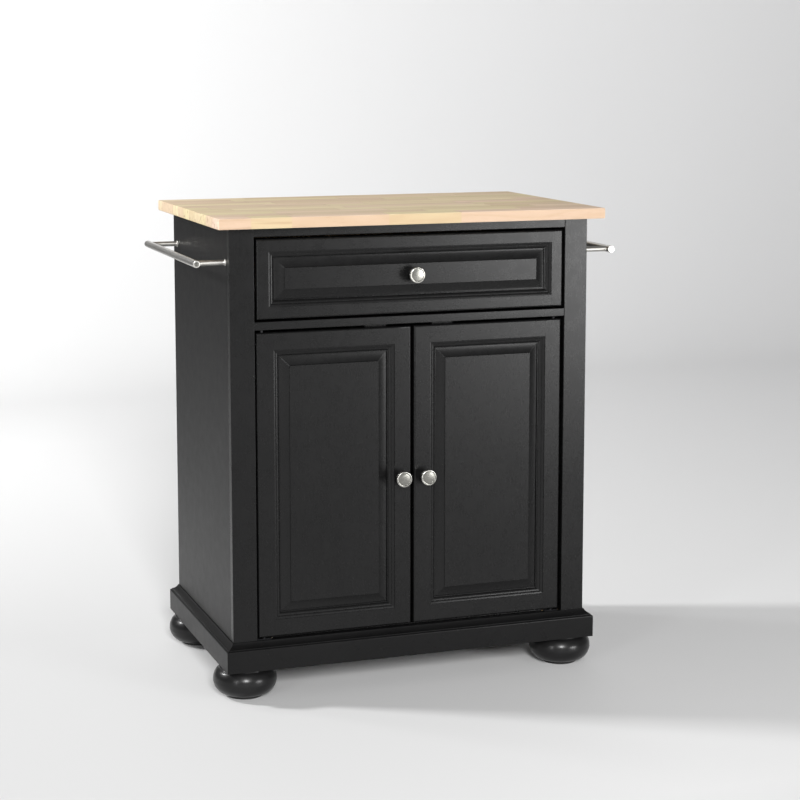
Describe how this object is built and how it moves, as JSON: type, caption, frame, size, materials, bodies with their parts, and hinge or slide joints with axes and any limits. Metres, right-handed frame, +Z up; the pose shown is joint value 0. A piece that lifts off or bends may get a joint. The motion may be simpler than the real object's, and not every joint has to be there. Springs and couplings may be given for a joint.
{
  "type": "butcher block table",
  "caption": "Compact kitchen island cabinet with a butcher block top, a drawer over paired raised-panel doors, side towel bars and bun feet.",
  "frame": {"origin": "on the floor under the centre of the work top", "axes": "+Z up, -Y towards the front with the drawer and doors, +X to the right as seen from the front"},
  "size_m": [0.7876, 0.4572, 0.851],
  "materials": {
    "butcher_block": "oiled natural hardwood staves",
    "black_lacquer": "satin black lacquer over wood",
    "gloss_lacquer": "gloss black lacquer over turned wood",
    "raw_wood": "clear sealed rubberwood",
    "panel_board": "thin board with a dark paper face",
    "brushed_nickel": "brushed nickel plate",
    "zinc_steel": "bright zinc plated steel",
    "black_steel": "black oxide coated steel",
    "glide_plastic": "matt black nylon",
    "catch_plastic": "moulded black plastic"
  },
  "bodies": {
    "root": {"adjustable_shelf": "black_lacquer", "back_panel": "panel_board", "base_moulding_back": "black_lacquer", "base_moulding_front": "black_lacquer", "base_moulding_left": "black_lacquer", "base_moulding_right": "black_lacquer", "bottom_panel": "black_lacquer", "butcher_block_top": "butcher_block", "corner_blocks": "raw_wood", "door_catches": "catch_plastic", "door_pivots": "black_steel", "face_rail_bottom": "black_lacquer", "face_rail_middle": "black_lacquer", "face_rail_top": "black_lacquer", "face_stile_left": "black_lacquer", "face_stile_right": "black_lacquer", "foot_bolts": "zinc_steel", "foot_front_left": "gloss_lacquer", "foot_front_right": "gloss_lacquer", "foot_glides": "glide_plastic", "foot_rear_left": "gloss_lacquer", "foot_rear_right": "gloss_lacquer", "rear_rail_top": "raw_wood", "shelf_pins": "zinc_steel", "side_panel_left": "black_lacquer", "side_panel_right": "black_lacquer", "slide_battens": "raw_wood", "slide_rail_left": "zinc_steel", "slide_rail_right": "zinc_steel", "top_brackets": "zinc_steel", "towel_bar_left": "brushed_nickel", "towel_bar_posts": "brushed_nickel", "towel_bar_right": "brushed_nickel", "towel_bar_screws": "zinc_steel"},
    "drawer": {"drawer_bottom": "panel_board", "drawer_box_back": "raw_wood", "drawer_box_front": "raw_wood", "drawer_knob": "brushed_nickel", "drawer_panel": "black_lacquer", "drawer_rail_bottom": "black_lacquer", "drawer_rail_top": "black_lacquer", "drawer_runners": "zinc_steel", "drawer_side_left": "raw_wood", "drawer_side_right": "raw_wood", "drawer_stile_left": "black_lacquer", "drawer_stile_right": "black_lacquer"},
    "door_left": {"door_left_knob": "brushed_nickel", "door_left_panel": "black_lacquer", "door_left_rail_bottom": "black_lacquer", "door_left_rail_top": "black_lacquer", "door_left_stile_inner": "black_lacquer", "door_left_stile_outer": "black_lacquer", "door_left_strike": "black_steel"},
    "door_right": {"door_right_knob": "brushed_nickel", "door_right_panel": "black_lacquer", "door_right_rail_bottom": "black_lacquer", "door_right_rail_top": "black_lacquer", "door_right_stile_inner": "black_lacquer", "door_right_stile_outer": "black_lacquer", "door_right_strike": "black_steel"}
  },
  "joints": [
    {"name": "drawer_slide", "type": "slide", "parent": "root", "child": "drawer", "axis": [0, -1, 0], "range_m": [0, 0.25]},
    {"name": "door_left_hinge", "type": "hinge", "parent": "root", "child": "door_left", "pos_m": [-0.2745, -0.1896, 0.3795], "axis": [0, 0, -1], "range_deg": [0, 105]},
    {"name": "door_right_hinge", "type": "hinge", "parent": "root", "child": "door_right", "pos_m": [0.2745, -0.1896, 0.3795], "axis": [0, 0, 1], "range_deg": [0, 105]}
  ]
}
